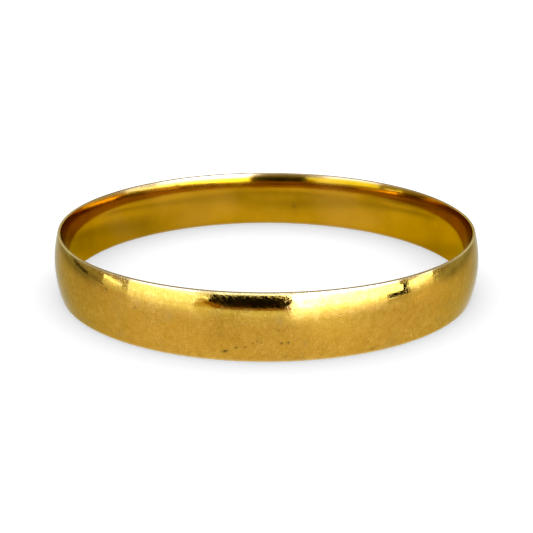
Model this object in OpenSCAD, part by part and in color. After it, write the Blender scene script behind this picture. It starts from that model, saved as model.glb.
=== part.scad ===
// Hollow slip-on bangle: a domed outer strip and a bowed inner strip, each bent to a ring, closed
// with a butt joint and soldered together along both rims. The cavity between them is empty.
// The axis is Z and the lower rim lies on Z = 0. All lengths are in millimetres.

/* [Band] */
// Inside diameter at the narrowest point, where the hand goes through
inside_d = 64.4; // [54:0.1:76]
// Width of the band, from rim to rim
band_w = 10; // [9:0.5:12]
// Thickness of the whole wall at mid-width
wall_t = 1.8; // [1.8:0.05:2.2]
// How far the outer face domes out between the rims
dome_rise = 0.76; // [0.5:0.02:0.76]
// How far the inner face bows in between the rims
bow_rise = 0.66; // [0.4:0.02:0.66]
// Rounding where each face turns over the rim
rim_r = 0.14; // [0.08:0.02:0.16]

/* [Strips] */
// Thickness of the sheet that both strips are rolled from
sheet_t = 0.4; // [0.3:0.05:0.45]
// Width of the butt joint that closes each strip
joint_w = 0.16; // [0.1:0.02:0.3]
// Direction of the outer strip's joint, in degrees from +X
shell_joint_az = 90; // [0:5:355]
// Direction of the inner strip's joint, in degrees from +X
liner_joint_az = 270; // [0:5:355]

/* [Rim solder] */
// Width of the solder seam where it shows on the rim
seam_w = 0.12; // [0.08:0.02:0.16]
// Depth that the solder runs in from the rim, down to the cavity
seam_depth = 1.4; // [1.4:0.1:2]
// Radius of the hollow that the solder's inner end draws to as it cools
meniscus_r = 0.3; // [0.25:0.05:0.5]

/* [Hidden] */
$fn = 360;

half_w = band_w / 2;
inner_r = inside_d / 2;
outer_r = inner_r + wall_t;

// Each face is an arc through its two rims, and the metal lies inside both arcs' circles.
dome_arc_r = (half_w * half_w + dome_rise * dome_rise) / (2 * dome_rise);
bow_arc_r = (half_w * half_w + bow_rise * bow_rise) / (2 * bow_rise);
dome_centre = outer_r - dome_arc_r;
bow_centre = inner_r + bow_arc_r;

// The strips meet on a cylinder through the middle of the rim.
rim_inner_r = inner_r + bow_rise;
rim_outer_r = outer_r - dome_rise;
seam_r = (rim_inner_r + rim_outer_r) / 2;

// The rim's corner circles touch the rim's flat top and their own face's arc.
corner_y = half_w - rim_r;
outer_corner_r = dome_centre + sqrt(pow(dome_arc_r - rim_r, 2) - corner_y * corner_y);
inner_corner_r = bow_centre - sqrt(pow(bow_arc_r - rim_r, 2) - corner_y * corner_y);

shell_joint_deg = joint_w / outer_r * 180 / PI;
liner_joint_deg = joint_w / inner_r * 180 / PI;
margin = 1;

gold = "goldenrod";
inner_gold = "darkgoldenrod";
solder_gold = "khaki";

// --- Section of the wall: X is the radius and Y the height above mid-width ---

// The sharp corner outside a rounding circle centred at [radius, corner_y]: the wedge between
// straight up and the direction away from the arc's centre.
module rim_corner(radius, arc_centre) {
    reach = half_w;
    away = [radius - arc_centre, corner_y];
    tip = away / norm(away) * rim_r * 3;
    polygon([
        [radius, corner_y],
        [radius, reach + margin],
        [radius + tip.x, reach + margin],
        [radius + tip.x, corner_y + tip.y]
    ]);
}

module both_rims() {
    children();
    mirror([0, 1]) children();
}

// Outline of the whole wall, with its rims rounded and a narrow flat left on each.
module wall_section() {
    difference() {
        intersection() {
            translate([dome_centre, 0]) circle(r = dome_arc_r);
            translate([bow_centre, 0]) circle(r = bow_arc_r);
            translate([inner_r - margin, -half_w]) square([wall_t + 2 * margin, band_w]);
        }
        both_rims() {
            rim_corner(outer_corner_r, dome_centre);
            rim_corner(inner_corner_r, bow_centre);
        }
    }
    both_rims() {
        translate([outer_corner_r, corner_y]) circle(r = rim_r);
        translate([inner_corner_r, corner_y]) circle(r = rim_r);
    }
}

// Everything between the two radii, over the whole width of the band.
module radial_band(from_r, to_r) {
    translate([from_r, -half_w - margin]) square([to_r - from_r, band_w + 2 * margin]);
}

// The outer strip: one sheet thick under the dome, and cut upright where it meets the seam.
module shell_section() {
    difference() {
        intersection() {
            wall_section();
            radial_band(seam_r + seam_w / 2, outer_r + margin);
        }
        translate([dome_centre, 0]) circle(r = dome_arc_r - sheet_t);
    }
}

// The inner strip, the same way round the other side of the seam.
module liner_section() {
    difference() {
        intersection() {
            wall_section();
            radial_band(inner_r - margin, seam_r - seam_w / 2);
        }
        translate([bow_centre, 0]) circle(r = bow_arc_r - sheet_t);
    }
}

// The solder at the upper rim: a thin seam between the strips' edges, which widens into the
// corner of the cavity and ends there in a hollow meniscus.
module upper_seam_section() {
    inner_end_y = half_w - seam_depth;
    difference() {
        union() {
            intersection() {
                wall_section();
                radial_band(seam_r - seam_w / 2, seam_r + seam_w / 2);
            }
            intersection() {
                translate([dome_centre, 0]) circle(r = dome_arc_r - sheet_t);
                translate([bow_centre, 0]) circle(r = bow_arc_r - sheet_t);
            }
        }
        translate([inner_r - margin, -half_w - margin])
            square([wall_t + 2 * margin, inner_end_y + half_w + margin]);
        translate([seam_r, inner_end_y - meniscus_r * 0.8]) circle(r = meniscus_r);
    }
}

// --- Pieces ---

// A strip bent round to a ring, short of a full turn by the joint that closes it.
module strip_ring(joint_az, joint_deg) {
    translate([0, 0, half_w])
        rotate([0, 0, joint_az + joint_deg / 2])
            rotate_extrude(angle = 360 - joint_deg) children();
}

// The solder that fills that joint.
module joint_fill(joint_az, joint_deg) {
    translate([0, 0, half_w])
        rotate([0, 0, joint_az - joint_deg / 2])
            rotate_extrude(angle = joint_deg) children();
}

module outer_shell() {
    color(gold) strip_ring(shell_joint_az, shell_joint_deg) shell_section();
}

module inner_liner() {
    color(inner_gold) strip_ring(liner_joint_az, liner_joint_deg) liner_section();
}

module upper_rim_solder() {
    color(solder_gold) translate([0, 0, half_w]) rotate_extrude() upper_seam_section();
}

module lower_rim_solder() {
    color(solder_gold)
        translate([0, 0, half_w]) rotate_extrude() mirror([0, 1]) upper_seam_section();
}

module shell_closing_solder() {
    color(solder_gold) joint_fill(shell_joint_az, shell_joint_deg) shell_section();
}

module liner_closing_solder() {
    color(solder_gold) joint_fill(liner_joint_az, liner_joint_deg) liner_section();
}

outer_shell();
inner_liner();
upper_rim_solder();
lower_rim_solder();
shell_closing_solder();
liner_closing_solder();
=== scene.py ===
import math

import bmesh
import bpy
import numpy as np
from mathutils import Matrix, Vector, noise


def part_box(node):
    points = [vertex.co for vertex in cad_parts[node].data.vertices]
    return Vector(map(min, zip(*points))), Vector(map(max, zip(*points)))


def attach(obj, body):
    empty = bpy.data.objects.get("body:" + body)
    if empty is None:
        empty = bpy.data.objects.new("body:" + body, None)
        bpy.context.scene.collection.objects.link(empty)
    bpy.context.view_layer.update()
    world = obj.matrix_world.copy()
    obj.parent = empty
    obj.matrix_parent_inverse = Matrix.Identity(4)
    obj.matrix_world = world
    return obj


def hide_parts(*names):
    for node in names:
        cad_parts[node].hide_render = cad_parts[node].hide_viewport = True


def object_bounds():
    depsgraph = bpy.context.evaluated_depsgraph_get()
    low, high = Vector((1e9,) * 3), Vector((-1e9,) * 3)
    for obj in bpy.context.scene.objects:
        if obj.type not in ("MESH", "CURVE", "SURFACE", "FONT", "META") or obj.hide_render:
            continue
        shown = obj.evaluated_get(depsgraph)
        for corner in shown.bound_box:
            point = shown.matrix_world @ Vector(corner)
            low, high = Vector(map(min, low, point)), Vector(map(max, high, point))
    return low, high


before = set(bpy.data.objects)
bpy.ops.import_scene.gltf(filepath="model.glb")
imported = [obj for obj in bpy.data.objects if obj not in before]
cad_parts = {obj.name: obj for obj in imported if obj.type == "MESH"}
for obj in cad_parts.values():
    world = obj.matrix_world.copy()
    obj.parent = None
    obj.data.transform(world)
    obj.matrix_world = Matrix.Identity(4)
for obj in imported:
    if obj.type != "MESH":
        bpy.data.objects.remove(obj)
cad_low, cad_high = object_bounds()

# Every length is in metres. Azimuth 0 on the bangle and in the studio is towards the camera (-Y)
# and grows to the camera's right (+X). Angles are in radians unless a name ends in _deg.
MM = 0.001
FULL_TURN = 2 * math.pi

# How finely the meshes are cut: round the bangle, across a strip's face and its back, and round
# each rim corner.
TURN_STEPS = 720
FACE_POINTS = 64
BACK_POINTS = 8
CORNER_POINTS = 8

# ---------------------------------------------------------------------------
# The wall's section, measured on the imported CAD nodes.
# Heights in the section count from the middle of the band.
# ---------------------------------------------------------------------------

half_w = (cad_high.z - cad_low.z) / 2
mid_z = (cad_high.z + cad_low.z) / 2

# A vertex counts as on a face when this share of its normal points straight out of the wall. The
# back is measured over this share of the band's width, clear of the solder.
FACING_SHARE = 0.96
BACK_SHARE = 0.7
LEVEL_TOLERANCE = 1e-8

# The joints' directions, as in part.scad: the outer strip's at the back, the inner one's in front.
SHELL_JOINT_AZ = math.pi
LINER_JOINT_AZ = 0.0

# The rim solder sinks between the strips over a short slope, and its inner end is hollow.
SOLDER_SINK, SOLDER_SLOPE, SOLDER_HOLLOW = 0.012 * MM, 0.03 * MM, 0.15 * MM


class Arc:
    """A face's arc in the section. Its centre lies at mid-width, at the radius `centre`, and
    `side` is +1 for a face that bulges outwards and -1 for one that bulges inwards."""

    def __init__(self, centre, radius, side):
        self.centre, self.radius, self.side = centre, radius, side
        self.crown = centre + side * radius

    def at(self, y):
        return self.centre + self.side * np.sqrt(self.radius**2 - y * y)

    def height_at(self, r):
        return math.sqrt(self.radius**2 - (r - self.centre) ** 2)


def section_points(node):
    """Radius, height above mid-width and outward share of the normal, for a node's vertices."""
    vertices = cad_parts[node].data.vertices
    co = np.array([v.co for v in vertices], float)
    normal = np.array([v.normal for v in vertices], float)
    r = np.hypot(co[:, 0], co[:, 1])
    outward = (co[:, 0] * normal[:, 0] + co[:, 1] * normal[:, 1]) / r
    return r, co[:, 2] - mid_z, outward


def fit_arc(r, y, side):
    """The arc centred at mid-width that passes through these points of the section."""
    terms = np.stack([2 * r, np.ones_like(r)], 1)
    (centre, rest), *_ = np.linalg.lstsq(terms, r * r + y * y, rcond=None)
    return Arc(centre, math.sqrt(rest + centre * centre), side)


def strip_arcs(node, side):
    """The arcs of a strip's polished face and of its back, which faces the cavity."""
    r, y, outward = section_points(node)
    face = side * outward > FACING_SHARE
    back = (side * outward < -FACING_SHARE) & (np.abs(y) < BACK_SHARE * half_w)
    return fit_arc(r[face], y[face], side), fit_arc(r[back], y[back], side)


def rim_flat(node):
    """Lowest and highest radius of the flat that a node has on the upper rim."""
    r, y, _ = section_points(node)
    top = r[y > y.max() - LEVEL_TOLERANCE]
    return top.min(), top.max()


def joint_half_angle(node):
    """Half the angle that a closing joint takes up, from the width of its box."""
    low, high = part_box(node)
    return (high[0] - low[0]) / 2 / max(abs(low[1]), abs(high[1]))


dome, dome_back = strip_arcs("outer_shell", 1)
bow, bow_back = strip_arcs("inner_liner", -1)
seam_outer, shell_flat = rim_flat("outer_shell")
liner_flat, seam_inner = rim_flat("inner_liner")
solder_end_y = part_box("upper_rim_solder")[0][2] - mid_z
shell_joint_half = joint_half_angle("shell_closing_solder")
liner_joint_half = joint_half_angle("liner_closing_solder")


def corner_radius(arc, flat):
    """Radius of the rounding that touches the rim's flat at `flat` and the face's arc."""
    along = flat - arc.centre
    return (arc.radius**2 - along**2 - half_w**2) / (2 * (arc.radius - half_w))


def strip_outline(arc, back_arc, flat, seam):
    """Closed outline of a strip's section: upper flat, face, lower flat, edge, back, edge."""
    round_r = corner_radius(arc, flat)
    corner_y = half_w - round_r
    tangent = math.atan2(corner_y, arc.side * (flat - arc.centre))
    upper = [(seam, half_w)]
    for k in range(CORNER_POINTS):
        angle = math.pi / 2 + (tangent - math.pi / 2) * k / CORNER_POINTS
        upper.append((flat + arc.side * round_r * math.cos(angle),
                      corner_y + round_r * math.sin(angle)))
    face = []
    for k in range(FACE_POINTS + 1):
        angle = tangent * (1 - 2 * k / FACE_POINTS)
        face.append((arc.centre + arc.side * arc.radius * math.cos(angle),
                     arc.radius * math.sin(angle)))
    lower = [(r, -y) for r, y in reversed(upper)]
    back_y = back_arc.height_at(seam)
    back = []
    for k in range(BACK_POINTS + 1):
        y = back_y * (2 * k / BACK_POINTS - 1)
        back.append((back_arc.at(y), y))
    return upper + face + lower + back


def solder_outline():
    """Closed outline of the upper rim solder: its narrow seam, the corner of the cavity that it
    fills, and the hollow it ends in."""
    return [
        (seam_inner, half_w),
        (seam_inner + SOLDER_SLOPE, half_w - SOLDER_SINK),
        (seam_outer - SOLDER_SLOPE, half_w - SOLDER_SINK),
        (seam_outer, half_w),
        (seam_outer, dome_back.height_at(seam_outer)),
        (dome_back.at(solder_end_y), solder_end_y),
        ((seam_inner + seam_outer) / 2, solder_end_y + SOLDER_HOLLOW),
        (bow_back.at(solder_end_y), solder_end_y),
        (seam_inner, bow_back.height_at(seam_inner)),
    ]


# ---------------------------------------------------------------------------
# Hand-made unevenness, shared by every piece
# ---------------------------------------------------------------------------

WAVE_LENGTH, WAVE_HEIGHT = 9 * MM, 0.022 * MM
RIPPLE_LENGTH, RIPPLE_HEIGHT = 3.2 * MM, 0.003 * MM
RIPPLE_OFFSET = Vector((7.3, 1.9, 4.2))

# The lean's slope and direction. It starts and is full where the cosine of the angle from that
# direction reaches these two numbers.
LEAN, LEAN_AZ = math.tan(math.radians(2.8)), math.radians(172)
LEAN_START_COS, LEAN_FULL_COS = -0.1, 0.65


def az_of(co):
    return math.atan2(co.x, -co.y)


def shift_radius(vert, amount):
    r = math.hypot(vert.co.x, vert.co.y)
    vert.co.x *= 1 + amount / r
    vert.co.y *= 1 + amount / r


def ramp_between(value, low, high):
    """0 up to `low`, 1 from `high`, and straight in between."""
    return min(1.0, max(0.0, (value - low) / (high - low)))


def fall_between(value, low, high):
    """1 up to `low`, 0 from `high`, and straight in between."""
    return 1 - ramp_between(value, low, high)


def unevenness(point):
    """How far the wall stands out of true at a point, along its radius: long shallow waves left
    by bending and hand polishing, with shorter ripples on them."""
    wave = noise.noise(point / WAVE_LENGTH)
    ripple = noise.noise(point / RIPPLE_LENGTH + RIPPLE_OFFSET)
    return WAVE_HEIGHT * wave + RIPPLE_HEIGHT * ripple


def rim_fade(y):
    """1 over most of the width and 0 at the rims, so that the rims keep their height and fit."""
    return max(0.0, 1 - (y / half_w) ** 6)


def lean_far_side(piece):
    """Leans the far side of a piece in towards the axis at the top and out at the bottom, by up
    to a quarter of a millimetre at the rims. Every piece gets the same lean, so they still fit."""
    for vert in piece.data.vertices:
        towards = math.cos(az_of(vert.co) - LEAN_AZ)
        share = ramp_between(towards, LEAN_START_COS, LEAN_FULL_COS)
        share = share * share * (3 - 2 * share)
        shift_radius(vert, -LEAN * share * (vert.co.z - mid_z))


# ---------------------------------------------------------------------------
# Meshes
# ---------------------------------------------------------------------------

SHARP_DEG = 40
FACE_TOLERANCE = 0.004 * MM

# Each edge near a mark gets this many cuts, out to REFINE_REACH times the mark's size and a
# margin more, and no further up or down than REFINE_HEIGHT.
REFINE_CUTS = 4
REFINE_REACH = 1.6
REFINE_MARGIN = 0.3 * MM
REFINE_HEIGHT = 1.5 * MM

# The stain round a pit: how far it reaches, against the pit's own size, and how dark it is,
# against the pit.
STAIN_REACH = 3.3
STAIN_SHARE = 0.85

# How far the wear reaches from the rims onto a face, and how much further a paler band reaches on
# the upper half of the inner face, about one azimuth. That wider band is partly wear and partly a
# painted highlight: paler where the highlights fall, so that they read whiter.
WEAR_WIDTH = 0.5 * MM
LINER_WEAR_AND_PAINTED_HIGHLIGHT_MORE = 0.7 * MM
LINER_WEAR_AND_PAINTED_HIGHLIGHT_AZ = math.radians(-148)
# A rim counts as worn all over, down to this many times its corner's radius.
CORNER_MARGIN = 1.05


def signed_area(outline):
    total = 0.0
    for (r0, y0), (r1, y1) in zip(outline, outline[1:] + outline[:1]):
        total += r0 * y1 - r1 * y0
    return total / 2


def place(az, r, y):
    return r * math.sin(az), -r * math.cos(az), y + mid_z


def revolve(name, outline, start, turn):
    """A closed solid made by turning an outline round Z. A part turn gets flat end caps."""
    closed = turn > FULL_TURN - 1e-9
    steps = max(2, round(turn / FULL_TURN * TURN_STEPS))
    rows = steps if closed else steps + 1
    if signed_area(outline) < 0:
        outline = outline[::-1]
    count = len(outline)
    points, faces = [], []
    for i in range(rows):
        az = start + turn * i / steps
        points += [place(az, r, y) for r, y in outline]
    for i in range(steps):
        here, there = i * count, (i + 1) % rows * count
        for j in range(count):
            k = (j + 1) % count
            faces.append((here + j, there + j, there + k, here + k))
    if not closed:
        faces.append(tuple(range(count)))
        faces.append(tuple(reversed(range((rows - 1) * count, rows * count))))
    mesh = bpy.data.meshes.new(name)
    mesh.from_pydata(points, [], faces)
    piece = bpy.data.objects.new(name, mesh)
    bpy.context.scene.collection.objects.link(piece)
    return piece


def on_face(co, arc):
    """Whether a point lies on a strip's polished face, short of its rim roundings."""
    return abs(math.hypot(co.x, co.y) - arc.at(co.z - mid_z)) < FACE_TOLERANCE


class Mark:
    """A small pit, nick or dent: its azimuth in degrees, and in millimetres its height above
    mid-width, half-length round the bangle, half-height and depth. Then comes how much dirt it
    holds, from 0 to 1, and how far its length is turned from level, in degrees."""

    def __init__(self, az_deg, y, length, height, depth, dirt, lean_deg=0):
        self.az, self.y = math.radians(az_deg), y * MM
        self.length, self.height, self.depth = length * MM, height * MM, depth * MM
        self.dirt, self.lean = dirt, math.radians(lean_deg)
        self.stain_height = 1.1 * STAIN_REACH * max(self.length, self.height)

    def distance(self, co, radius):
        """0 at the middle of the mark and 1 on its edge."""
        turn = (az_of(co) - self.az + math.pi) % FULL_TURN - math.pi
        u, v = turn * radius, co.z - mid_z - self.y
        along = u * math.cos(self.lean) + v * math.sin(self.lean)
        across = v * math.cos(self.lean) - u * math.sin(self.lean)
        return math.hypot(along / self.length, across / self.height)


def refine_around(mesh_data, marks, arc):
    """Splits the faces round each mark finely enough to hold its shape."""
    centres = [(f, f.calc_center_median()) for f in mesh_data.faces]
    centres = [(f, c) for f, c in centres if on_face(c, arc)]
    for mark in marks:
        reach = REFINE_REACH + REFINE_MARGIN / min(mark.length, mark.height)
        near = []
        for face, centre in centres:
            level = face.is_valid and abs(centre.z - mid_z - mark.y) < REFINE_HEIGHT
            if level and mark.distance(centre, arc.crown) < reach:
                near.append(face)
        edges = list({edge for face in near for edge in face.edges})
        bmesh.ops.subdivide_edges(mesh_data, edges=edges, cuts=REFINE_CUTS, use_grid_fill=True)


def mark_effect(co, marks, arc):
    """How deep the marks sink the face at a point, and how much dirt they hold there."""
    sunk, dirt = 0.0, 0.0
    for mark in marks:
        if abs(co.z - mid_z - mark.y) >= mark.stain_height:
            continue
        d = mark.distance(co, arc.crown)
        if d < 1:
            sunk += mark.depth * (1 - d * d) ** 2
            dirt = max(dirt, mark.dirt * (1 - d**4))
        if d < STAIN_REACH:
            dirt = max(dirt, STAIN_SHARE * mark.dirt * (1 - d / STAIN_REACH) ** 2)
    return sunk, dirt


def face_wear_and_painted_highlight(co, arc):
    """How worn a face is at a point: 1 where it meets a rim, and less away from it. On the upper
    half of the inner face the band is wider about one azimuth, and there it is also a painted
    highlight.
    """
    y = co.z - mid_z
    width = WEAR_WIDTH
    if arc.side < 0 and y > 0:
        width += LINER_WEAR_AND_PAINTED_HIGHLIGHT_MORE * max(0.0, math.cos(az_of(co) - LINER_WEAR_AND_PAINTED_HIGHLIGHT_AZ)) ** 2
    return max(0.0, 1 - (half_w - abs(y)) / width) ** 2


def lay_flat_map(mesh_data, crown):
    """Maps a strip flat, in millimetres, for the hairlines. The map's ends meet at the back."""
    flat_map = mesh_data.loops.layers.uv.new("flat_map")
    for face in mesh_data.faces:
        middle = az_of(face.calc_center_median())
        for loop in face.loops:
            az = az_of(loop.vert.co)
            if az - middle > math.pi:
                az -= FULL_TURN
            if middle - az > math.pi:
                az += FULL_TURN
            loop[flat_map].uv = (az * crown / MM, (loop.vert.co.z - mid_z) / MM)


def smooth(piece):
    """Smooths a piece and keeps its edges sharp."""
    for face in piece.data.polygons:
        face.use_smooth = True
    piece.data.set_sharp_from_angle(angle=math.radians(SHARP_DEG))


def finish_strip(piece, arc, marks, flat):
    """Gives a strip its unevenness, its marks and what its material reads: dirt in the marks, wear
    along the rims with a band of painted highlight on the upper inner face, and a flat map of the
    face."""
    mesh_data = bmesh.new()
    mesh_data.from_mesh(piece.data)
    refine_around(mesh_data, marks, arc)
    dirt = mesh_data.verts.layers.float.new("dirt")
    wear = mesh_data.verts.layers.float.new("rim_wear_and_painted_highlight")
    rim_start = half_w - corner_radius(arc, flat) * CORNER_MARGIN
    for vert in mesh_data.verts:
        y = vert.co.z - mid_z
        if not on_face(vert.co, arc):
            vert[wear] = 1.0 if abs(y) > rim_start else 0.0
            continue
        sunk, vert[dirt] = mark_effect(vert.co, marks, arc)
        vert[wear] = face_wear_and_painted_highlight(vert.co, arc)
        lift = float(arc.at(y)) - math.hypot(vert.co.x, vert.co.y)
        lift += unevenness(vert.co) * rim_fade(y)
        shift_radius(vert, lift - arc.side * sunk)
    lay_flat_map(mesh_data, arc.crown)
    mesh_data.to_mesh(piece.data)
    mesh_data.free()
    smooth(piece)


# ---------------------------------------------------------------------------
# Materials
# ---------------------------------------------------------------------------

OUTER_GOLD = (0.560, 0.305, 0.035)
INNER_GOLD = (0.460, 0.232, 0.003)
EDGE_ON_TINT = (0.78, 0.76, 0.52, 1)
INNER_EDGE_ON_TINT = (0.74, 0.62, 0.26, 1)
# Pale worn gold of the rims, also used for the painted highlight band on the upper inner face.
WORN_RIM_AND_PAINTED_HIGHLIGHT = (0.760, 0.590, 0.270)
SOLDER = (0.250, 0.160, 0.050)
DIRT = (0.080, 0.044, 0.008)
SMUDGE = (0.43, 0.29, 0.080)
TARNISH = (0.36, 0.17, 0.012)
NO_CHANGE = (1, 1, 1)

# Short fine brush marks, which cross at two angles: turn in degrees, stretch and offset.
BRUSH_MARKS = ((80, 3.5, 3.1), (-10, 5.0, 6.4))
# Fine scratches: turn in degrees, width in millimetres, stretch, offset and share that stays.
OUTER_HAIRLINES = ((8, 0.06, 34, 1.3, 0.25), (-24, 0.06, 26, 4.1, 0.25),
                   (63, 0.10, 12, 7.7, 0.75), (97, 0.09, 10, 9.2, 0.6),
                   (-58, 0.10, 12, 12.9, 0.75), (38, 0.12, 14, 15.3, 0.7))
INNER_HAIRLINES = ((4, 0.06, 40, 2.2, 0.5), (-12, 0.06, 30, 5.2, 0.4))
HAIRLINE_EDGE = 0.022

# Roughness where the mottle or the clouds are lowest and highest, and the heights of the bumps.
OUTER_ROUGHNESS = (0.012, 0.035)
INNER_ROUGHNESS = (0.08, 0.13)
OUTER_DIMPLES, OUTER_HAIRLINE_DEPTH = 0.0018 * MM, 0.0013 * MM
INNER_DIMPLES, INNER_HAIRLINE_DEPTH = 0.004 * MM, 0.0003 * MM
SOLDER_GRAIN = 0.006 * MM


class Finish:
    """A Principled material and short ways to add nodes to it."""

    def __init__(self, name):
        self.material = bpy.data.materials.new(name)
        self.material.use_nodes = True
        self.tree = self.material.node_tree
        self.shader = self.tree.nodes["Principled BSDF"]

    def add(self, kind, inputs=None, **settings):
        node = self.tree.nodes.new("ShaderNode" + kind)
        for name, value in settings.items():
            setattr(node, name, value)
        for name, value in (inputs or {}).items():
            if isinstance(value, bpy.types.NodeSocket):
                self.tree.links.new(value, node.inputs[name])
            else:
                node.inputs[name].default_value = value
        return node

    def noise(self, size, detail=4.0, roughness=0.6, where=None, distortion=0.0):
        """Noise whose main features are `size` apart, in the units of the coordinates: the
        body's own, or those given as `where`."""
        if where is None:
            where = self.add("TexCoord").outputs["Object"]
        node = self.add("TexNoise", {"Scale": 1 / size, "Detail": detail, "Roughness": roughness,
                                     "Distortion": distortion, "Vector": where})
        return node.outputs["Fac"]

    def flat_coordinates(self, turn_deg, stretch, offset):
        """The flat map turned, then squeezed along one way so that noise on it runs in lines."""
        flat = self.add("UVMap", uv_map="flat_map").outputs["UV"]
        turned = self.add("Mapping", {"Vector": flat, "Location": (offset, 3.7 * offset, 0),
                                      "Rotation": (0, 0, math.radians(turn_deg))})
        squeezed = self.add("Mapping", {"Vector": turned.outputs["Vector"],
                                        "Scale": (1 / stretch, 1, 1)})
        return squeezed.outputs["Vector"]

    def ramp(self, value, low, high, out_low=0.0, out_high=1.0):
        """A straight ramp: out_low up to `low`, out_high from `high`."""
        node = self.add("MapRange", {"Value": value, "From Min": low, "From Max": high,
                                     "To Min": out_low, "To Max": out_high})
        return node.outputs["Result"]

    def math(self, operation, a, b):
        return self.add("Math", {0: a, 1: b}, operation=operation).outputs["Value"]

    def scaled(self, value, factor):
        return self.math("MULTIPLY", value, factor)

    def total(self, *values):
        result = values[0]
        for value in values[1:]:
            result = self.math("ADD", result, value)
        return result

    def mix(self, factor, a, b):
        """A blend of two colours, each a socket or three numbers."""
        node = self.add("Mix", {0: factor}, data_type="RGBA")
        for socket, value in ((node.inputs[6], a), (node.inputs[7], b)):
            if isinstance(value, bpy.types.NodeSocket):
                self.tree.links.new(value, socket)
            else:
                socket.default_value = (*value, 1)
        return node.outputs[2]

    def toned(self, colour, value, dark, light):
        """The colour times three numbers, `dark` where the value is 0 and `light` where it is 1."""
        node = self.add("Mix", {0: 1.0}, data_type="RGBA", blend_type="MULTIPLY")
        self.tree.links.new(colour, node.inputs[6])
        self.tree.links.new(self.mix(value, dark, light), node.inputs[7])
        return node.outputs[2]

    def attribute(self, name):
        return self.add("Attribute", attribute_name=name).outputs["Fac"]

    def bump(self, height, distance, below=None):
        inputs = {"Height": height, "Distance": distance, "Strength": 1.0}
        if below is not None:
            inputs["Normal"] = below
        return self.add("Bump", inputs).outputs["Normal"]

    def hairlines(self, turn_deg, width, stretch, offset, share):
        """Fine scratches one way over the face: thin lines where stretched noise crosses its
        middle, broken up by a second noise. `share` is about how much of them stays."""
        where = self.flat_coordinates(turn_deg, stretch, offset)
        field = self.noise(width * 6, detail=1.0, where=where)
        off_middle = self.math("ABSOLUTE", self.math("SUBTRACT", field, 0.5), 0)
        line = self.ramp(off_middle, 0, HAIRLINE_EDGE, 1, 0)
        patch = self.ramp(self.noise(1.6 * MM + offset * 0.1 * MM, detail=2.0),
                          0.62 - 0.3 * share, 0.72 - 0.3 * share)
        return self.math("MULTIPLY", line, patch)

    def all_hairlines(self, kinds):
        """Several kinds of hairlines, one over another."""
        lines = self.hairlines(*kinds[0])
        for kind in kinds[1:]:
            lines = self.math("MAXIMUM", lines, self.hairlines(*kind))
        return lines

    def drive(self, **sockets):
        for name, value in sockets.items():
            self.tree.links.new(value, self.shader.inputs[name.replace("_", " ")])


def shade(colour, by, tint=NO_CHANGE):
    return tuple(c * by * t for c, t in zip(colour, tint))


def metal(name, edge_on_tint=None):
    """A finish of bare metal. Gold's tint where it is seen edge on can be given."""
    f = Finish(name)
    f.shader.inputs["Metallic"].default_value = 1.0
    if edge_on_tint is not None:
        f.shader.inputs["Specular Tint"].default_value = edge_on_tint
    return f


def brushed_gold(f, mottle):
    """The outside's gold with its mottle, brush marks, blotches and streaks."""
    colour = f.mix(mottle, shade(OUTER_GOLD, 0.86, (1, 0.97, 0.75)),
                   shade(OUTER_GOLD, 1.14, (1, 1.03, 1.3)))
    for turn_deg, stretch, offset in BRUSH_MARKS:
        grain = f.noise(0.20, detail=2.0, where=f.flat_coordinates(turn_deg, stretch, offset))
        colour = f.toned(colour, f.ramp(grain, 0.33, 0.67), (0.90, 0.88, 0.76), (1.09, 1.11, 1.24))
    blotch = f.ramp(f.noise(2.0 * MM, detail=3.0), 0.35, 0.65)
    colour = f.toned(colour, blotch, (0.95, 0.94, 0.88), (1.05, 1.06, 1.12))
    streak = f.ramp(f.noise(0.30, detail=2.0, where=f.flat_coordinates(92, 9, 2.1)), 0.40, 0.60)
    brushed = f.ramp(f.noise(4.2 * MM, detail=3.0), 0.48, 0.62, 0.0, 0.35)
    return f.toned(colour, f.math("MULTIPLY", streak, brushed), NO_CHANGE, (0.80, 0.78, 0.65))


def aged_gold(f, colour, smudge):
    """The outside's gold with deeper clouds, and with smudges, tarnish and specks."""
    cloud = f.ramp(f.noise(5.5 * MM, detail=3.0, roughness=0.55), 0.35, 0.65)
    tarnish = f.ramp(f.noise(4.0 * MM, detail=6.0, roughness=0.75, distortion=0.4), 0.59, 0.76)
    specks = f.ramp(f.noise(0.45 * MM, detail=2.0), 0.735, 0.78)
    colour = f.mix(f.scaled(cloud, 0.6), colour, shade(OUTER_GOLD, 0.92, (1, 0.95, 0.7)))
    colour = f.mix(f.scaled(smudge, 0.5), colour, SMUDGE)
    colour = f.mix(f.scaled(tarnish, 0.6), colour, TARNISH)
    return f.mix(f.scaled(specks, 0.6), colour, shade(DIRT, 2.0))


def outer_finish():
    """The polished outside: brush marks, hairlines, age, worn rims and dirt in its pits."""
    f = metal("outer_polished_gold", EDGE_ON_TINT)
    mottle = f.ramp(f.noise(0.9 * MM, detail=6.0, roughness=0.7), 0.3, 0.7)
    smudge = f.ramp(f.noise(7.5 * MM, detail=5.0, roughness=0.7, distortion=0.6), 0.56, 0.70)
    worn = f.attribute("rim_wear_and_painted_highlight")
    dirt = f.attribute("dirt")
    lines = f.all_hairlines(OUTER_HAIRLINES)
    colour = aged_gold(f, brushed_gold(f, mottle), smudge)
    colour = f.mix(f.scaled(worn, 0.8), colour, WORN_RIM_AND_PAINTED_HIGHLIGHT)
    colour = f.mix(dirt, colour, DIRT)
    colour = f.toned(colour, lines, NO_CHANGE, (0.90, 0.88, 0.78))
    haze = f.total(f.ramp(mottle, 0, 1, *OUTER_ROUGHNESS), f.scaled(smudge, 0.04),
                   f.scaled(worn, 0.15), f.scaled(dirt, 0.4), f.scaled(lines, 0.05))
    normal = f.bump(f.noise(0.8 * MM, detail=4.0, roughness=0.65), OUTER_DIMPLES)
    normal = f.bump(f.scaled(lines, -1), OUTER_HAIRLINE_DEPTH, normal)
    f.drive(Base_Color=colour, Roughness=haze, Normal=normal)
    return f.material


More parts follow.
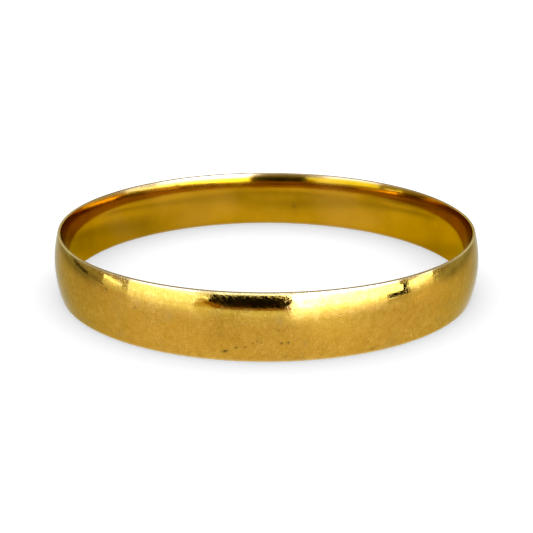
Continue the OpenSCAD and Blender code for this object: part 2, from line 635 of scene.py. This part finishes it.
def inner_finish():
    """The smoother inside: a deeper gold with soft clouds, pale patches and faint hairlines."""
    f = metal("inner_polished_gold", INNER_EDGE_ON_TINT)
    mottle = f.ramp(f.noise(1.4 * MM, detail=5.0, roughness=0.6), 0.3, 0.7)
    cloud = f.ramp(f.noise(8.0 * MM, detail=3.0, roughness=0.5), 0.35, 0.65)
    pale = f.ramp(f.noise(10.0 * MM, detail=1.0, roughness=0.5), 0.48, 0.70)
    worn = f.attribute("rim_wear_and_painted_highlight")
    dirt = f.attribute("dirt")
    lines = f.all_hairlines(INNER_HAIRLINES)
    colour = f.mix(mottle, shade(INNER_GOLD, 0.96), shade(INNER_GOLD, 1.04))
    colour = f.mix(f.scaled(cloud, 0.9), colour, shade(INNER_GOLD, 0.80))
    colour = f.mix(f.scaled(pale, 0.6), colour, shade(INNER_GOLD, 1.12, (1, 1.02, 6)))
    # Worn rims, and about one azimuth on the upper inner face a wider band of painted highlight.
    colour = f.mix(f.scaled(worn, 0.6), colour, WORN_RIM_AND_PAINTED_HIGHLIGHT)
    colour = f.mix(dirt, colour, DIRT)
    haze = f.total(f.ramp(cloud, 0, 1, *INNER_ROUGHNESS), f.scaled(worn, 0.12), f.scaled(dirt, 0.3))
    normal = f.bump(f.noise(1.5 * MM, detail=3.0), INNER_DIMPLES)
    normal = f.bump(f.scaled(lines, -1), INNER_HAIRLINE_DEPTH, normal)
    f.drive(Base_Color=colour, Roughness=haze, Normal=normal)
    return f.material


def solder_finish(name, colour, dull):
    """Grainy solder with darker stains. `dull` is its middle roughness."""
    f = metal(name)
    grain = f.ramp(f.noise(0.35 * MM, detail=5.0, roughness=0.7), 0.3, 0.7)
    stain = f.ramp(f.noise(2.5 * MM, detail=3.0), 0.5, 0.7)
    mixed = f.mix(grain, shade(colour, 0.85), shade(colour, 1.1))
    mixed = f.mix(f.scaled(stain, 0.4), mixed, shade(colour, 0.5))
    haze = f.ramp(grain, 0, 1, dull - 0.06, dull + 0.08)
    normal = f.bump(f.noise(0.3 * MM, detail=3.0), SOLDER_GRAIN)
    f.drive(Base_Color=mixed, Roughness=haze, Normal=normal)
    return f.material


# ---------------------------------------------------------------------------
# Pieces
# ---------------------------------------------------------------------------

# Pits, nicks and stains of the outer face. The first of them make a loose group below the middle
# of the front.
outer_marks = [
    Mark(-9.6, -3.40, 0.36, 0.17, 0.045, 0.95, lean_deg=18),
    Mark(-7.0, -2.75, 0.20, 0.13, 0.035, 0.75, lean_deg=12),
    Mark(-4.9, -2.60, 0.15, 0.12, 0.030, 0.60),
    Mark(-3.1, -1.95, 0.13, 0.11, 0.030, 0.55),
    Mark(-2.2, -1.65, 0.15, 0.11, 0.030, 0.55),
    Mark(-1.3, -1.90, 0.12, 0.10, 0.025, 0.45),
    Mark(3.4, -2.00, 0.16, 0.15, 0.040, 0.85),
    Mark(5.0, -1.95, 0.16, 0.15, 0.040, 0.85),
    Mark(2.7, -0.15, 0.15, 0.11, 0.025, 0.55),
    Mark(3.8, -0.15, 0.12, 0.10, 0.025, 0.45),
    Mark(4.4, -4.10, 0.17, 0.11, 0.030, 0.60),
    Mark(-10.6, -1.05, 1.30, 0.45, 0.004, 0.14, lean_deg=-12),
    Mark(26.0, -4.35, 0.50, 0.14, 0.010, 0.40, lean_deg=12),
    Mark(53.5, 3.60, 0.45, 0.22, 0.012, 0.35, lean_deg=35),
    Mark(-42.0, 2.60, 0.20, 0.20, 0.030, 0.70),
    Mark(-32.5, 1.10, 0.18, 0.16, 0.025, 0.55),
    Mark(-26.5, 0.00, 0.16, 0.15, 0.025, 0.40),
    Mark(17.0, 1.55, 0.12, 0.12, 0.030, 0.60),
    Mark(24.5, -3.10, 0.14, 0.10, 0.025, 0.45),
    Mark(38.0, -1.80, 0.13, 0.10, 0.025, 0.40),
    Mark(-62.0, -0.90, 0.15, 0.12, 0.030, 0.50),
    Mark(71.0, 1.20, 0.16, 0.12, 0.030, 0.50),
    Mark(112.0, -1.40, 0.18, 0.12, 0.035, 0.60),
    Mark(141.0, 1.90, 0.14, 0.12, 0.030, 0.55),
    Mark(-128.0, -2.20, 0.16, 0.13, 0.030, 0.60),
    Mark(-159.0, 0.80, 0.13, 0.11, 0.030, 0.50),
]
# One shallow dent near the middle of the far side of the inner face, and a few small pits.
inner_marks = [
    Mark(170.6, -1.25, 0.42, 0.36, 0.020, 0.35),
    Mark(150.0, 1.10, 0.16, 0.12, 0.015, 0.20),
    Mark(-141.0, -1.60, 0.15, 0.12, 0.015, 0.20),
    Mark(35.0, 0.90, 0.16, 0.12, 0.015, 0.25),
    Mark(-20.0, -1.30, 0.15, 0.12, 0.015, 0.25),
]

shell_section = strip_outline(dome, dome_back, shell_flat, seam_outer)
liner_section = strip_outline(bow, bow_back, liner_flat, seam_inner)
rim_section = solder_outline()

shell = revolve("domed_outer_strip", shell_section, SHELL_JOINT_AZ + shell_joint_half,
                FULL_TURN - 2 * shell_joint_half)
liner = revolve("bowed_inner_strip", liner_section, LINER_JOINT_AZ + liner_joint_half,
                FULL_TURN - 2 * liner_joint_half)
shell_joint = revolve("outer_strip_joint", shell_section, SHELL_JOINT_AZ - shell_joint_half,
                      2 * shell_joint_half)
liner_joint = revolve("inner_strip_joint", liner_section, LINER_JOINT_AZ - liner_joint_half,
                      2 * liner_joint_half)
upper_seam = revolve("upper_rim_seam", rim_section, 0.0, FULL_TURN)
lower_seam = revolve("lower_rim_seam", [(r, -y) for r, y in rim_section], 0.0, FULL_TURN)

finish_strip(shell, dome, outer_marks, shell_flat)
finish_strip(liner, bow, inner_marks, liner_flat)
finish_strip(shell_joint, dome, [], shell_flat)
finish_strip(liner_joint, bow, [], liner_flat)
smooth(upper_seam)
smooth(lower_seam)

JOINT_GOLD = shade(OUTER_GOLD, 0.95, (1, 1.05, 1.6))
SEAM_ROUGHNESS, JOINT_ROUGHNESS = 0.30, 0.16
seam_finish = solder_finish("rim_seam_solder", SOLDER, SEAM_ROUGHNESS)
joint_finish = solder_finish("joint_solder", JOINT_GOLD, JOINT_ROUGHNESS)

for piece, node, slot, material in (
        (shell, "outer_shell", "outer_gold", outer_finish()),
        (liner, "inner_liner", "inner_gold", inner_finish()),
        (upper_seam, "upper_rim_solder", "rim_solder", seam_finish),
        (lower_seam, "lower_rim_solder", "rim_solder", seam_finish),
        (shell_joint, "shell_closing_solder", "joint_solder", joint_finish),
        (liner_joint, "liner_closing_solder", "joint_solder", joint_finish)):
    lean_far_side(piece)
    piece.data.materials.append(material)
    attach(piece, "root")
    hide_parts(node)

# ---------------------------------------------------------------------------
# Studio
# ---------------------------------------------------------------------------

scene = bpy.context.scene
scene.view_settings.view_transform = "Standard"
scene.cycles.caustics_reflective = False

# Distances of the cards from the bangle's axis, and the colours of their light.
FAR = 0.9
NEAR_LEFT, NEAR_LEFT_HAZE = 0.108, 0.112
FRONT, FRONT_BARS = 0.182, 0.100
WHITE = (1, 1, 1)
COOL = (0.42, 0.55, 1.0)
BRIGHT_COOL = (0.28, 0.34, 1.0)
CARD_STEP_DEG = 3


def stage_object(name, points, faces, material):
    mesh = bpy.data.meshes.new(name)
    mesh.from_pydata(points, [], faces)
    mesh.materials.append(material)
    made = bpy.data.objects.new(name, mesh)
    scene.collection.objects.link(made)
    return made


def glow(name, colour, strength):
    f = Finish(name)
    light = f.add("Emission", {"Color": (*colour, 1), "Strength": strength})
    f.tree.nodes.remove(f.shader)
    f.tree.links.new(light.outputs[0], f.tree.nodes["Material Output"].inputs["Surface"])
    return f.material


def only_in_reflections(card):
    """The object sees the card, and the camera and the floor's soft light don't."""
    card.visible_camera = False
    card.visible_diffuse = False
    card.visible_shadow = False


def flat_card(name, points, strength, colour):
    """A flat card with these corners."""
    material = glow(name + "_light", colour, strength)
    only_in_reflections(stage_object(name, points, [tuple(range(len(points)))], material))


def arc_card(name, az_from_deg, az_to_deg, z_from, z_to, strength, colour=WHITE, radius=FAR):
    """An upright card bent round the bangle's axis."""
    steps = max(1, round(abs(az_to_deg - az_from_deg) / CARD_STEP_DEG))
    points, faces = [], []
    for i in range(steps + 1):
        az = math.radians(az_from_deg + (az_to_deg - az_from_deg) * i / steps)
        x, y = radius * math.sin(az), -radius * math.cos(az)
        points += [(x, y, z_from), (x, y, z_to)]
    for i in range(steps):
        faces.append((2 * i, 2 * i + 2, 2 * i + 3, 2 * i + 1))
    only_in_reflections(stage_object(name, points, faces, glow(name + "_light", colour, strength)))


def front_card(name, corners, strength, colour=WHITE, distance=FRONT):
    """A flat upright card in front of the bangle, under the camera. Its corners are pairs of x
    and z."""
    flat_card(name, [(x, -distance, z) for x, z in corners], strength, colour)


def box(x_from, x_to, z_from, z_to):
    return (x_from, z_from), (x_to, z_from), (x_to, z_to), (x_from, z_to)


# ---- The floor that the camera sees, which takes the soft shadow ----

FLOOR_HALF = 3.0
FLOOR_GLOW = 0.36

floor = Finish("pale_floor")
floor.shader.inputs["Base Color"].default_value = (0.85, 0.85, 0.85, 1)
floor.shader.inputs["Roughness"].default_value = 1.0
floor.shader.inputs["Specular IOR Level"].default_value = 0.0
floor.shader.inputs["Emission Color"].default_value = (1, 1, 1, 1)
floor.shader.inputs["Emission Strength"].default_value = FLOOR_GLOW
floor_corners = [(x, y, 0.0) for x, y in box(-FLOOR_HALF, FLOOR_HALF, -FLOOR_HALF, FLOOR_HALF)]
seen_floor = stage_object("seen_floor", floor_corners, [(0, 1, 2, 3)], floor.material)
seen_floor.visible_glossy = False
seen_floor.visible_shadow = False

# ---- The floor that the gold reflects, just under it: a little glossy, and just as bright close
# to the bangle. Places on it are in millimetres right of the axis and in front of it. ----

# Its light is painted on: painted pools of light and painted shade, which no lamp casts.
MIRRORED_FLOOR_Z = -0.05 * MM
FLOOR_RADII = (0, 6, 10, 14, 17, 20, 23, 26, 29, 32, 33.5, 36, 39, 42, 46, 50, 55, 60, 66, 72, 80,
               88, 98, 110, 130, 160, 220, 400, 3000)
FLOOR_COLUMNS = 120
RING_RADIUS = 33

# The painted level of light inside the ring and how much higher it is to the sides, and then soft
# round spots: place, size and depth. Inside the ring they are painted shadows that dim the floor,
# and outside they are painted light that brightens it.
INSIDE_LEVEL, INSIDE_SIDES = 1.17, 0.13
INSIDE_PAINTED_SHADOWS = ((2.5, -24, 5, 0.42), (0, -16, 7, 0.26), (-1, -4, 8, 0.48), (-19, -20, 8, 0.60),
                (20, -20, 7, 0.12), (29, -13, 6, 0.50), (-28, -13, 6, 0.45))
OUTSIDE_PAINTED_LIGHT_SPOTS = ((-17, 36, 11, 0.10), (13, 38, 11, 0.12))
RIGHT_POOL, MIDDLE_POOL, LEFT_POOL = 0.55, 1.0, 0.45
POOL_COLOUR = (0.68, 1.05, 1.5)


def spots_at(spots, x, ahead):
    """What soft round spots add up to at a place."""
    total = 0.0
    for spot_x, spot_ahead, size, depth in spots:
        off_x, off_ahead = x - spot_x, ahead - spot_ahead
        total += depth * math.exp(-(off_x * off_x + off_ahead * off_ahead) / (size * size))
    return total


def inside_level(x, ahead):
    """Painted brightness of the floor inside the ring, a little higher to the sides of the middle
    and dimmed by painted shadows.
    """
    sides = ramp_between(ahead, -24, -6) * ramp_between(abs(x), 4, 10)
    return INSIDE_LEVEL + INSIDE_SIDES * sides - spots_at(INSIDE_PAINTED_SHADOWS, x, ahead)


def outside_level(x, ahead, radius):
    """Painted brightness of the floor round the ring: painted shade makes it lower beside and
    behind it, and painted light spots and a painted patch to the right make it brighter.
    """
    if x < 0:
        level = 0.76 + 0.28 * ramp_between(ahead, 14, 33)
        behind = fall_between(ahead, 2, 26)
    else:
        level = 0.77 + 0.24 * ramp_between(ahead, -5, 26)
        behind = fall_between(ahead, -2, 18)
    level += spots_at(OUTSIDE_PAINTED_LIGHT_SPOTS, x, ahead)
    level *= 1 - 0.6 * behind * ramp_between(radius, 58, 85)
    beside = ramp_between(ahead, 5, 25) * fall_between(ahead, 32, 42)
    return level + 0.28 * ramp_between(x, 36, 60) * beside


def pool_level(x, ahead, radius):
    """Brightness of the painted pools of cool light in front, under the windows."""
    side_on_deg = math.degrees(math.atan2(x, ahead))
    right = RIGHT_POOL * (1.25 - 1.15 * ramp_between(side_on_deg, 20, 46))
    right = right * ramp_between(ahead, 30, 62) + 0.4 * ramp_between(radius, 75, 115)
    far_middle = 0.9 * ramp_between(ahead, 105, 140) * ramp_between(x, -40, -10)
    middle = MIDDLE_POOL * (ramp_between(ahead, 50, 105) + far_middle)
    left = LEFT_POOL * (ramp_between(ahead, 44, 80) + 1.6 * ramp_between(radius, 85, 130))
    pool = middle + (right - middle) * ramp_between(x, 5, 15)
    return pool + (left - middle) * fall_between(x, -50, -25)


def floor_light(x, ahead):
    """Colour of the painted light that the mirrored floor gives off at a place: white, with the
    painted pools' own colour outside the ring."""
    radius = math.hypot(x, ahead)
    if radius < RING_RADIUS:
        return (inside_level(x, ahead),) * 3
    level = outside_level(x, ahead, radius)
    pool = pool_level(x, ahead, radius)
    return tuple(level + pool * share for share in POOL_COLOUR)


def mirrored_material():
    """Gives off the colours in the attribute `light`, with a little haze and an edge-on sheen."""
    f = Finish("mirrored_floor")
    sheen = f.add("BsdfGlossy", {"Roughness": 0.14})
    haze = f.add("BsdfGlossy", {"Roughness": 0.45})
    light = f.add("Attribute", attribute_name="light")
    shine = f.add("Emission", {"Color": light.outputs["Color"], "Strength": 1.0})
    satin = f.add("MixShader", {0: 0.11, 1: shine.outputs[0], 2: haze.outputs[0]})
    edge_on = f.add("Fresnel", {"IOR": 1.045})
    blend = f.add("MixShader", {0: edge_on.outputs[0], 1: satin.outputs[0],
                                2: sheen.outputs[0]})
    f.tree.nodes.remove(f.shader)
    f.tree.links.new(blend.outputs[0], f.tree.nodes["Material Output"].inputs["Surface"])
    return f.material


points, faces, lights = [], [], []
for radius_mm in FLOOR_RADII:
    for i in range(FLOOR_COLUMNS):
        az = FULL_TURN * i / FLOOR_COLUMNS
        x, ahead = radius_mm * math.sin(az), radius_mm * math.cos(az)
        points.append((x * MM, -ahead * MM, MIRRORED_FLOOR_Z))
        lights.append((*floor_light(x, ahead), 1))
for j in range(len(FLOOR_RADII) - 1):
    here, beyond = j * FLOOR_COLUMNS, (j + 1) * FLOOR_COLUMNS
    for i in range(FLOOR_COLUMNS):
        k = (i + 1) % FLOOR_COLUMNS
        faces.append((here + i, beyond + i, beyond + k, here + k))

mirrored_floor = stage_object("mirrored_floor", points, faces, mirrored_material())
tints = mirrored_floor.data.color_attributes.new("light", "FLOAT_COLOR", "POINT")
for i, light_colour in enumerate(lights):
    tints.data[i].color = light_colour
only_in_reflections(mirrored_floor)

# ---- Cards that only reflections see: windows, walls and what stands near the bangle ----

# Name, azimuths in degrees, heights, strength and colour. They stand far off.
for card in (
        ("left_window", -73, -24, 0.0, 0.12, 6, COOL),
        ("left_window_top", -73, -34, 0.12, 0.24, 12, BRIGHT_COOL),
        ("left_window_end", -34, -24, 0.12, 0.24, 4, COOL),
        ("left_strip", -90, -77, 0.0, 0.035, 8, COOL),
        ("right_strip", 70, 93, 0.0, 0.06, 10, COOL),
        ("front_fill", -24, 10, 0.17, 0.3, 8, COOL),
        ("left_wall", -90, -73, 0.035, 0.17, 0.5),
        ("left_wall_top", -110, -73, 0.17, 0.4, 1.1),
        ("left_gap", -77, -73, 0.0, 0.035, 0.3),
        ("right_wall", 70, 93, 0.06, 0.17, 0.5),
        ("right_wall_top", 70, 110, 0.17, 0.4, 1.1),
        ("back_wall", 93, 270, 0.0, 0.2, 0.5),
        ("back_wall_top", 110, 250, 0.2, 0.5, 1.1),
        ("back_shade", 110, 250, 0.5, 3.0, 0.06)):
    arc_card(*card)

# The right window falls off from its near end to its far end, and its lower part warms. The
# first card of the lower part is dimmer than the next.
RIGHT_WINDOW_CARDS, RIGHT_WINDOW_AZ_DEG, RIGHT_CARD_DEG = 15, 10, 4
LOW_STRENGTH, LOW_LOSS, LOW_CURVE = 34, 24, 0.6
TOP_STRENGTH, TOP_LOSS, TOP_CURVE = 50, 39, 0.7
FIRST_LOW_STRENGTH = 18
for i in range(RIGHT_WINDOW_CARDS):
    az_from = RIGHT_WINDOW_AZ_DEG + RIGHT_CARD_DEG * i
    az_to = az_from + RIGHT_CARD_DEG
    share = i / (RIGHT_WINDOW_CARDS - 1)
    colour = tuple(b + (c - b) * share for b, c in zip(BRIGHT_COOL, COOL))
    low_strength = FIRST_LOW_STRENGTH if i == 0 else LOW_STRENGTH - LOW_LOSS * share**LOW_CURVE
    top_strength = TOP_STRENGTH - TOP_LOSS * share**TOP_CURVE
    arc_card("right_window_%d" % i, az_from, az_to, 0.0, 0.12, low_strength, colour)
    arc_card("right_window_top_%d" % i, az_from, az_to, 0.12, 0.19, top_strength, BRIGHT_COOL)

# Low dark things on the left, close to the bangle.
arc_card("low_left", -104, -90, 0.0, 0.0034, 0.08, radius=NEAR_LEFT)
arc_card("low_left_haze", -110, -80, 0.0, 0.0052, 0.40, radius=NEAR_LEFT_HAZE)
arc_card("low_left_end", -90, -78, 0.0, 0.0014, 0.30, radius=NEAR_LEFT)

# The dark stand in front, with its brown foot and side, and two bars nearer to the bangle.
front_card("dark_stand", ((-0.060, 0.006), (0.020, 0.006), (0.017, 0.040), (-0.088, 0.040),
                          (-0.092, 0.020)), 0.012, (1.0, 0.9, 0.6))
front_card("stand_end", ((0.020, 0.006), (0.034, 0.006), (0.038, 0.038), (0.017, 0.040)), 0.05,
           (1.0, 1.0, 0.3))
front_card("dark_stand_foot", ((-0.075, 0.0), (0.036, 0.0), (0.036, 0.006), (-0.060, 0.006),
                               (-0.092, 0.020), (-0.100, 0.012)), 1.0, (0.42, 0.23, 0.025))
front_card("brown_side", ((-0.120, 0.0), (-0.075, 0.0), (-0.100, 0.012), (-0.092, 0.020),
                          (-0.095, 0.026), (-0.115, 0.024)), 1.0, (0.9, 0.8, 0.25))
front_card("dark_bar", box(-0.085, -0.014, 0.030, 0.047), 0.15, (1.0, 0.8, 0.3), FRONT_BARS)
front_card("grey_bar", box(-0.014, 0.010, 0.030, 0.047), 0.35, (1.0, 0.9, 0.5), FRONT_BARS)

# A thin upright rod with a foot, to the right of the camera and close to the floor. Its outline
# is pairs of the distance along the foot and the height.
ROD_X, ROD_Y, ROD_TURN = 0.0975, -0.0462, math.radians(75.4)
ROD_OUTLINE = ((-0.0015, 0.0005), (0.0047, 0.0004), (0.0215, 0.0008), (0.0215, 0.0067),
               (0.0047, 0.0058), (0.0047, 0.0145), (-0.0015, 0.0145))
rod_points = []
for along, z in ROD_OUTLINE:
    rod_points.append((ROD_X - math.cos(ROD_TURN) * along, ROD_Y - math.sin(ROD_TURN) * along, z))
flat_card("rod_and_foot", rod_points, 0.01, (1, 0.9, 0.8))

world = bpy.data.worlds.new("studio_world")
scene.world = world
world.use_nodes = True
world.node_tree.nodes["Background"].inputs["Color"].default_value = (1, 1, 1, 1)
world.node_tree.nodes["Background"].inputs["Strength"].default_value = 1.0

# ---------------------------------------------------------------------------
# Camera: in front and above, aimed a little below the middle of the bangle
# ---------------------------------------------------------------------------

CAMERA_DISTANCE = 0.18057
CAMERA_RISE_DEG = 18.044
AIM_BELOW_DEG = 0.7751
SENSOR_WIDTH_MM = 36
# Focal length over the sensor's width.
FOCAL_RATIO = 2.076

camera_data = bpy.data.cameras.new("camera")
camera = bpy.data.objects.new("camera", camera_data)
scene.collection.objects.link(camera)
scene.camera = camera
camera_data.sensor_width = SENSOR_WIDTH_MM
camera_data.lens = FOCAL_RATIO * SENSOR_WIDTH_MM
camera_data.clip_start = 0.01
camera_data.clip_end = 10
rise = math.radians(CAMERA_RISE_DEG)
camera.location = (0, -CAMERA_DISTANCE * math.cos(rise), mid_z + CAMERA_DISTANCE * math.sin(rise))
camera.rotation_euler = (math.pi / 2 - rise - math.radians(AIM_BELOW_DEG), 0, 0)
